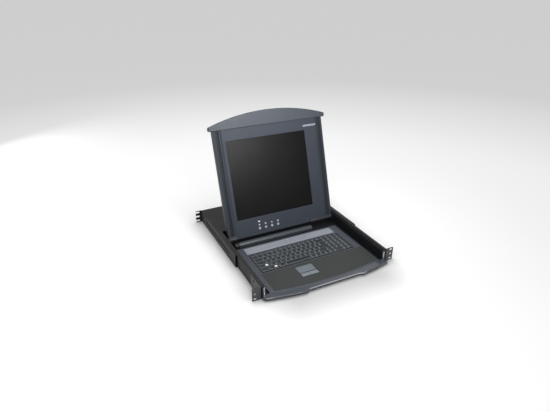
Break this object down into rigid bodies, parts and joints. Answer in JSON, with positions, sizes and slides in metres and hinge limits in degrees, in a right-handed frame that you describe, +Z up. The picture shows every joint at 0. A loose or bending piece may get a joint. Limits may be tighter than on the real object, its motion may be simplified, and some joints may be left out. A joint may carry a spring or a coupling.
{
  "type": "rackmount LCD console drawer",
  "caption": "One-unit rack drawer with keyboard, touchpad and hinged LCD lid on telescopic slides; fits a 19-inch rack.",
  "frame": {"origin": "centre of the front rack-hole pattern, on the back face of the front ears; the underside is 21.85 mm below it", "axes": "+X to the right seen from the front, +Y towards the rear of the rack, +Z up"},
  "size_m": [0.4826, 0.5505, 0.4142],
  "materials": {
    "frame_black": "fine textured satin",
    "ear_black": "fine textured satin",
    "zinc": "bright zinc",
    "tray_black": "fine textured satin",
    "steel": "bright",
    "slate_plastic": "fine grain, satin",
    "palm_plastic": "matt",
    "key_plastic": "matt",
    "plate_black": "matt",
    "strip_silver": "satin",
    "touchpad_grey": "satin",
    "screen_glass": "polished",
    "display": "dark",
    "board": "solder mask",
    "button_grey": "satin",
    "lens": "polished",
    "connector": "moulded, with a plated shell",
    "inlet_black": "satin",
    "supply": "coated case"
  },
  "bodies": {
    "chassis": {"side_rail_left": "frame_black", "side_rail_right": "frame_black", "rear_pan": "frame_black", "rear_cover": "frame_black", "rear_panel": "frame_black", "front_ear_left": "ear_black", "front_ear_right": "ear_black", "slide_outer_left": "zinc", "slide_outer_right": "zinc", "frame_screws": "steel", "main_board": "board", "port_sockets": "connector", "power_inlet": "inlet_black", "power_supply": "supply"},
    "drawer": {"slide_inner_left": "zinc", "slide_inner_right": "zinc", "drawer_tray": "tray_black", "keyboard_deck": "slate_plastic", "palm_rest": "palm_plastic", "port_strip": "strip_silver", "front_handle": "slate_plastic", "end_plates": "zinc", "key_plate": "plate_black", "keyboard_board": "board", "touchpad": "touchpad_grey", "hinge_bracket_left": "tray_black", "hinge_bracket_right": "tray_black", "hinge_shafts": "steel", "cover_bar": "slate_plastic", "cover_bar_cap": "plate_black"},
    "lid": {"lid_back_cover": "slate_plastic", "lid_bezel": "slate_plastic", "lcd_panel": "display", "lcd_glass": "screen_glass", "lid_board": "board", "status_lens": "lens", "name_plate": "strip_silver", "lid_screws": "steel", "upper_handle": "slate_plastic", "hinge_knuckle_left": "plate_black", "hinge_knuckle_right": "plate_black"},
    "rear_bracket_left": {"rear_bracket_left": "frame_black"},
    "rear_bracket_right": {"rear_bracket_right": "frame_black"},
    "slide_middle_left": {"slide_middle_left": "zinc"},
    "slide_middle_right": {"slide_middle_right": "zinc"},
    "power_rocker": {"power_rocker": "inlet_black"},
    "touchpad_button_left": {"touchpad_button_left": "touchpad_grey"},
    "touchpad_button_right": {"touchpad_button_right": "touchpad_grey"},
    "lcd_button_1": {"lcd_button_1": "button_grey"},
    "lcd_button_2": {"lcd_button_2": "button_grey"},
    "lcd_button_3": {"lcd_button_3": "button_grey"},
    "lcd_button_4": {"lcd_button_4": "button_grey"},
    "key_row_1": {"key_row_1": "key_plastic"},
    "key_row_2": {"key_row_2": "key_plastic"},
    "key_row_3": {"key_row_3": "key_plastic"},
    "key_row_4": {"key_row_4": "key_plastic"},
    "key_row_5": {"key_row_5": "key_plastic"},
    "key_row_function": {"key_row_function": "key_plastic"}
  },
  "joints": [
    {"name": "drawer_slide", "type": "slide", "parent": "chassis", "child": "drawer", "axis": [0, -1, 0], "range_m": [0, 0.4]},
    {"name": "slide_middle_left_travel", "type": "slide", "parent": "chassis", "child": "slide_middle_left", "axis": [0, -1, 0], "range_m": [0, 0.2]},
    {"name": "rear_bracket_left_adjust", "type": "slide", "parent": "chassis", "child": "rear_bracket_left", "axis": [0, 1, 0], "range_m": [0, 0.1]},
    {"name": "slide_middle_right_travel", "type": "slide", "parent": "chassis", "child": "slide_middle_right", "axis": [0, -1, 0], "range_m": [0, 0.2]},
    {"name": "rear_bracket_right_adjust", "type": "slide", "parent": "chassis", "child": "rear_bracket_right", "axis": [0, 1, 0], "range_m": [0, 0.1]},
    {"name": "lid_hinge", "type": "hinge", "parent": "drawer", "child": "lid", "pos_m": [0, 0.29, 0.00495], "axis": [1, 0, 0], "range_deg": [-8, 107.1]},
    {"name": "lcd_button_1_press", "type": "slide", "parent": "lid", "child": "lcd_button_1", "axis": [0, 0.9558, -0.294], "range_m": [0, 0.0008], "stiffness_N_per_m": 300, "springref_m": -0.0006},
    {"name": "lcd_button_2_press", "type": "slide", "parent": "lid", "child": "lcd_button_2", "axis": [0, 0.9558, -0.294], "range_m": [0, 0.0008], "stiffness_N_per_m": 300, "springref_m": -0.0006},
    {"name": "lcd_button_3_press", "type": "slide", "parent": "lid", "child": "lcd_button_3", "axis": [0, 0.9558, -0.294], "range_m": [0, 0.0008], "stiffness_N_per_m": 300, "springref_m": -0.0006},
    {"name": "lcd_button_4_press", "type": "slide", "parent": "lid", "child": "lcd_button_4", "axis": [0, 0.9558, -0.294], "range_m": [0, 0.0008], "stiffness_N_per_m": 300, "springref_m": -0.0006},
    {"name": "touchpad_button_left_press", "type": "slide", "parent": "drawer", "child": "touchpad_button_left", "axis": [0, 0, -1], "range_m": [0, 0.0008], "stiffness_N_per_m": 300, "springref_m": -0.0006},
    {"name": "touchpad_button_right_press", "type": "slide", "parent": "drawer", "child": "touchpad_button_right", "axis": [0, 0, -1], "range_m": [0, 0.0008], "stiffness_N_per_m": 300, "springref_m": -0.0006},
    {"name": "key_row_1_press", "type": "slide", "parent": "drawer", "child": "key_row_1", "axis": [0, 0, -1], "range_m": [0, 0.002], "stiffness_N_per_m": 300, "springref_m": -0.003},
    {"name": "key_row_2_press", "type": "slide", "parent": "drawer", "child": "key_row_2", "axis": [0, 0, -1], "range_m": [0, 0.002], "stiffness_N_per_m": 300, "springref_m": -0.003},
    {"name": "key_row_3_press", "type": "slide", "parent": "drawer", "child": "key_row_3", "axis": [0, 0, -1], "range_m": [0, 0.002], "stiffness_N_per_m": 300, "springref_m": -0.003},
    {"name": "key_row_4_press", "type": "slide", "parent": "drawer", "child": "key_row_4", "axis": [0, 0, -1], "range_m": [0, 0.002], "stiffness_N_per_m": 300, "springref_m": -0.003},
    {"name": "key_row_5_press", "type": "slide", "parent": "drawer", "child": "key_row_5", "axis": [0, 0, -1], "range_m": [0, 0.002], "stiffness_N_per_m": 300, "springref_m": -0.003},
    {"name": "key_row_function_press", "type": "slide", "parent": "drawer", "child": "key_row_function", "axis": [0, 0, -1], "range_m": [0, 0.002], "stiffness_N_per_m": 300, "springref_m": -0.003},
    {"name": "power_rocker_pivot", "type": "hinge", "parent": "chassis", "child": "power_rocker", "pos_m": [0.137, 0.5033, 0], "axis": [1, 0, 0], "range_deg": [-6, 6]}
  ],
  "couplings": [
    {"joint": "slide_middle_left_travel", "follows": "drawer_slide", "ratio": 0.5},
    {"joint": "slide_middle_right_travel", "follows": "drawer_slide", "ratio": 0.5}
  ]
}
